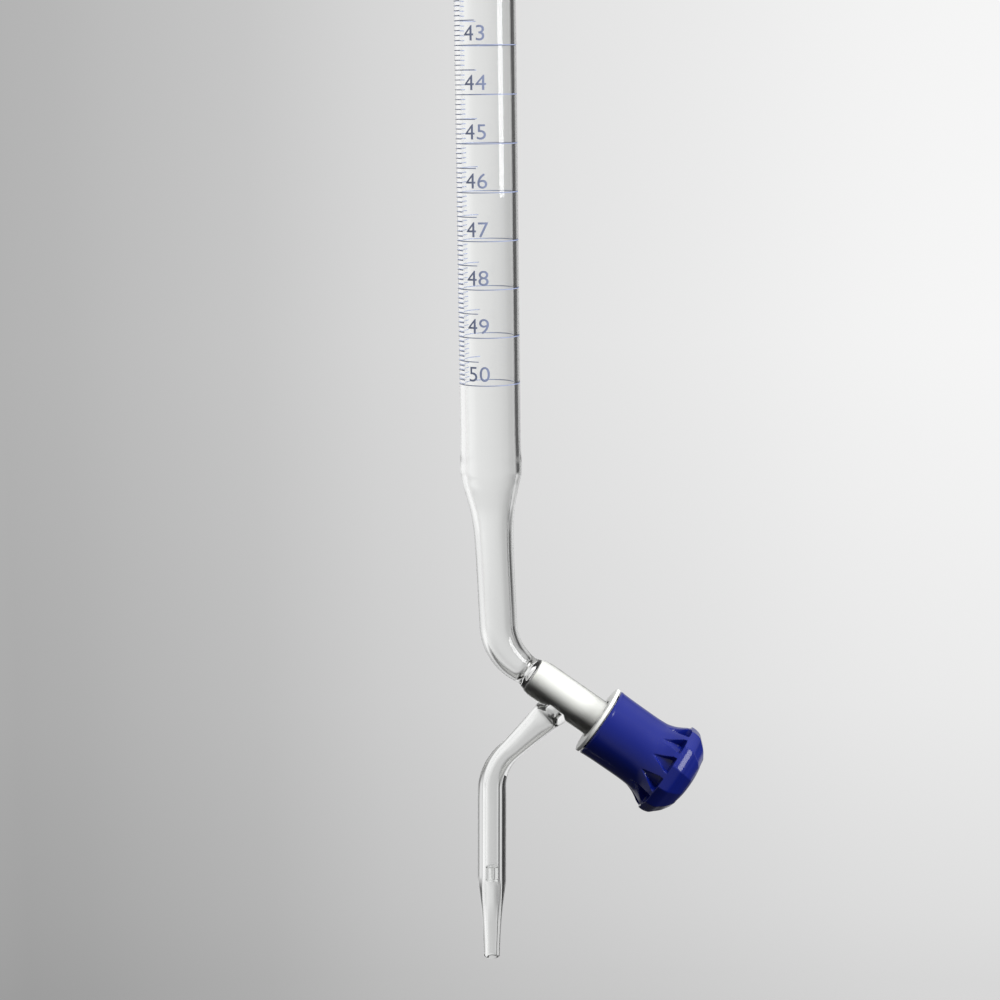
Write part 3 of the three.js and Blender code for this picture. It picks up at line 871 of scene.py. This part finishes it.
def ptfe_material():
    """Turned PTFE: waxy white with fine tool marks round the valve axis."""
    material = bpy.data.materials.new("turned_ptfe")
    nodes = Nodes(material)
    place = nodes.add("TexCoord").outputs["Object"]
    along = nodes.add("VectorMath", {0: place, 1: tuple(valve_axis)}, operation="DOT_PRODUCT")
    pace = TOOL_MARKS_PER_METRE * 2 * math.pi
    turns = nodes.add("Math", {0: along.outputs["Value"], 1: pace}, operation="MULTIPLY")
    marks = nodes.add("Math", {0: turns}, operation="SINE")
    base = nodes.add("BsdfPrincipled", {
        "Base Color": nodes.blended(nodes.noise(160, 3), PTFE_LIGHT, PTFE_SHADE),
        "Roughness": nodes.spread(nodes.noise(700, 2), 0.38, 0.55),
        "Subsurface Weight": 0.15,
        "Subsurface Radius": (0.002, 0.002, 0.0018),
        "Normal": nodes.bump(marks, 0.000004),
    })
    nodes.shade(base)
    return material


def enamel_material():
    """Fired blue enamel, a little uneven in strength along each line."""
    material = bpy.data.materials.new("blue_enamel")
    nodes = Nodes(material)
    base = nodes.add("BsdfPrincipled", {
        "Base Color": nodes.blended(nodes.noise(900, 2), ENAMEL_LIGHT, ENAMEL_DEEP),
        "Roughness": nodes.spread(nodes.noise(2000, 1), 0.3, 0.5),
    })
    nodes.shade(base)
    return material


def steel_material():
    """Bright spring steel with fine scratches."""
    material = bpy.data.materials.new("spring_steel")
    nodes = Nodes(material)
    scratches = nodes.noise(900, 4, (1, 6, 1))
    base = nodes.add("BsdfPrincipled", {
        "Base Color": nodes.blended(scratches, (0.62, 0.63, 0.65, 1), (0.5, 0.5, 0.52, 1)),
        "Metallic": 1.0,
        "Roughness": nodes.spread(scratches, 0.22, 0.4),
        "Normal": nodes.bump(scratches, 0.000005),
    })
    nodes.shade(base)
    return material


def dressed(node, material):
    """A CAD node that stays in view gets a finished material."""
    mesh = frame["nodes"][node].data
    mesh.materials.clear()
    mesh.materials.append(material)


# ---- the studio ----------------------------------------------------------------------------------

def add_ramp(nodes, share, stops, low, high):
    """A grey ramp read by a value, from (place, brightness) stops."""
    scaled = nodes.add("MapRange", {"Value": share, "From Min": low, "From Max": high})
    ramp = nodes.add("ValToRGB", {"Fac": scaled})
    elements = ramp.color_ramp.elements
    for element, place in zip(elements, (0, 1)):
        element.position = place
    while len(elements) < len(stops):
        elements.new(0.5)
    for element, (place, brightness) in zip(elements, sorted(stops)):
        element.position = (place - low) / (high - low)
        element.color = (brightness, brightness, brightness, 1)
    return ramp.outputs[0]


def studio_world():
    """What surrounds the object, by direction. The camera sees a plain pale backdrop. Glass, gloss
    and shade see the light and dark zones that stand round the object."""
    world = bpy.data.worlds.new("studio")
    bpy.context.scene.world = world
    nodes = Nodes(world)
    direction = nodes.add("SeparateXYZ", {0: nodes.add("TexCoord").outputs["Generated"]})
    x, y, z = direction.outputs
    heading = nodes.add("Math", {0: x, 1: y}, operation="ARCTAN2")
    true_degrees = nodes.add("Math", {0: heading}, operation="DEGREES")
    degrees = nodes.add("Math", {0: true_degrees, 1: VIEW_TURN}, operation="ADD")

    light = add_ramp(nodes, degrees, ZONES[0][1], -180, 180)
    for (low, high), stops in ZONES[1:]:
        share = nodes.add("MapRange", {"Value": z, "From Min": high, "From Max": low})
        mix = nodes.add("Mix", {0: share}, data_type="RGBA")
        nodes.tree.links.new(light, mix.inputs[6])
        nodes.tree.links.new(add_ramp(nodes, degrees, stops, -180, 180), mix.inputs[7])
        light = mix.outputs[2]

    backdrop = nodes.add("Mix", {0: 1.0}, data_type="RGBA", blend_type="MULTIPLY")
    nodes.tree.links.new(add_ramp(nodes, degrees, BACKDROP, -180, 180), backdrop.inputs[6])
    nodes.tree.links.new(add_ramp(nodes, z, BACKDROP_RISE, -1, 1), backdrop.inputs[7])

    unlit = nodes.add("Background", {"Color": backdrop.outputs[2]})
    path = nodes.add("LightPath")
    through = path.outputs["Is Transmission Ray"]
    sharp = nodes.add("Math", {0: through, 1: path.outputs["Is Glossy Ray"]}, operation="MAXIMUM")
    lit = nodes.add("Background", {"Color": light, "Strength": nodes.spread(sharp, AMBIENT, 1)})
    seen = path.outputs["Is Camera Ray"]
    nodes.shade(nodes.add("MixShader", {0: seen, 1: lit, 2: unlit}), "OutputWorld")


def softbox(name, centre, size, power, mirrored=False):
    """A rectangular lamp that faces the valve, hidden from the camera. Gloss shows it if mirrored."""
    lamp = bpy.data.lights.new(name, "AREA")
    lamp.shape = "RECTANGLE"
    lamp.size, lamp.size_y = size
    lamp.energy = power
    holder = bpy.data.objects.new(name, lamp)
    bpy.context.scene.collection.objects.link(holder)
    holder.location = Matrix.Rotation(math.radians(VIEW_TURN), 3, "Z") @ Vector(centre)
    holder.rotation_euler = (LAMP_TARGET - holder.location).to_track_quat("-Z", "Y").to_euler()
    holder.visible_camera = False
    holder.visible_transmission = False
    holder.visible_glossy = mirrored


def flag():
    """The black strip behind the outlet. Only light that has crossed one or two surfaces of glass
    meets it, which is the light through the outlet's solid wall."""
    turn = Matrix.Rotation(math.radians(VIEW_TURN), 3, "Z")
    ends = [Vector((x, y, 0)) for x, y in FLAG_ENDS]
    off = (ends[1] - ends[0]).orthogonal().normalized() * FLAG_THICKNESS
    corners = [ends[0], ends[1], ends[1] + off, ends[0] + off]
    axis = Vector((jet_seam.x, 0, 0))
    rings = []
    for height in FLAG_SPAN:
        rise = Vector((0, 0, height))
        rings.append([(axis + turn @ corner + rise) * MM for corner in corners])
    strip = skinned("flag", rings)
    material = bpy.data.materials.new("black_card")
    nodes = Nodes(material)
    colour = nodes.blended(nodes.noise(60, 3), CARD_DEEP, CARD_LIGHT)
    black = nodes.add("BsdfDiffuse", {"Color": colour})
    depth = nodes.add("LightPath").outputs["Ray Depth"]
    deeper = nodes.add("Math", {0: depth, 1: FLAG_CROSSINGS}, operation="GREATER_THAN")
    nodes.shade(nodes.add("MixShader", {0: deeper, 1: black, 2: nodes.add("BsdfTransparent")}))
    strip.data.materials.append(material)
    strip.visible_camera = False
    strip.visible_diffuse = False
    strip.visible_glossy = False
    strip.visible_shadow = False


def floor():
    """A plain pale floor under the hanging burette, which fades out round its edge."""
    level = cad_low.z - FLOOR_DROP
    angles = [2 * math.pi * k / SMALL_FACETS for k in range(SMALL_FACETS)]
    rim = [(FLOOR_RADIUS * math.cos(a), FLOOR_RADIUS * math.sin(a), level) for a in angles]
    disc = new_object("floor", rim, [tuple(range(SMALL_FACETS))])
    material = bpy.data.materials.new("pale_floor")
    nodes = Nodes(material)
    place = nodes.add("TexCoord").outputs["Object"]
    flat = nodes.add("VectorMath", {0: place, 1: (1, 1, 0)}, operation="MULTIPLY")
    reach = nodes.add("VectorMath", {0: flat}, operation="LENGTH").outputs["Value"]
    span = {"Value": reach, "From Min": FLOOR_RADIUS * FLOOR_PLAIN, "From Max": FLOOR_RADIUS}
    fade = nodes.add("MapRange", span, interpolation_type="SMOOTHERSTEP")
    colour = nodes.blended(nodes.noise(60, 4), FLOOR_LIGHT, FLOOR_DEEP)
    pale = nodes.add("BsdfDiffuse", {"Color": colour})
    nodes.shade(nodes.add("MixShader", {0: fade, 1: pale, 2: nodes.add("BsdfTransparent")}))
    disc.data.materials.append(material)
    disc.visible_diffuse = False
    disc.visible_glossy = False


def camera():
    view = bpy.data.cameras.new("camera")
    view.lens = CAMERA_LENS
    view.sensor_width = CAMERA_SENSOR
    view.clip_start = 0.01
    holder = bpy.data.objects.new("camera", view)
    bpy.context.scene.collection.objects.link(holder)
    tip = Matrix.Rotation(math.radians(90 - CAMERA_PITCH), 4, "X")
    roll = Matrix.Rotation(math.radians(CAMERA_ROLL), 4, "Z")
    turn = Matrix.Rotation(math.radians(VIEW_TURN), 4, "Z")
    holder.matrix_world = turn @ Matrix.Translation(CAMERA_PLACE) @ tip @ roll
    bpy.context.scene.camera = holder


def build_object():
    glass = glass_material()
    enamel = enamel_material()
    ptfe = ptfe_material()
    white = plastic("white_plastic", WHITE_LIGHT, WHITE_DEEP, (0.28, 0.42), 0.000004)
    blue = plastic("blue_plastic", BLUE_LIGHT, BLUE_DEEP, (0.12, 0.2), 0.000003, gloss=0.3)
    rubber = plastic("black_rubber", RUBBER_DEEP, RUBBER_LIGHT, (0.5, 0.7), 0.00001)
    glass_body(glass, seated_material())
    jet_sleeve(glass)
    scale_lines(enamel)
    scale_figures(enamel)
    collar(white)
    spindle(ptfe)
    washer(ptfe)
    seals(rubber)
    knob(blue)
    knob_cap(blue)
    dressed("spindle_clip", steel_material())


def build_studio():
    studio_world()
    softbox("window", WINDOW_PLACE, WINDOW_SIZE, WINDOW_POWER, mirrored=True)
    softbox("overhead", OVERHEAD_PLACE, OVERHEAD_SIZE, OVERHEAD_POWER)
    flag()
    floor()
    camera()
    bpy.context.scene.view_settings.view_transform = "Standard"
    bpy.context.scene.cycles.caustics_refractive = False


build_studio()
build_object()
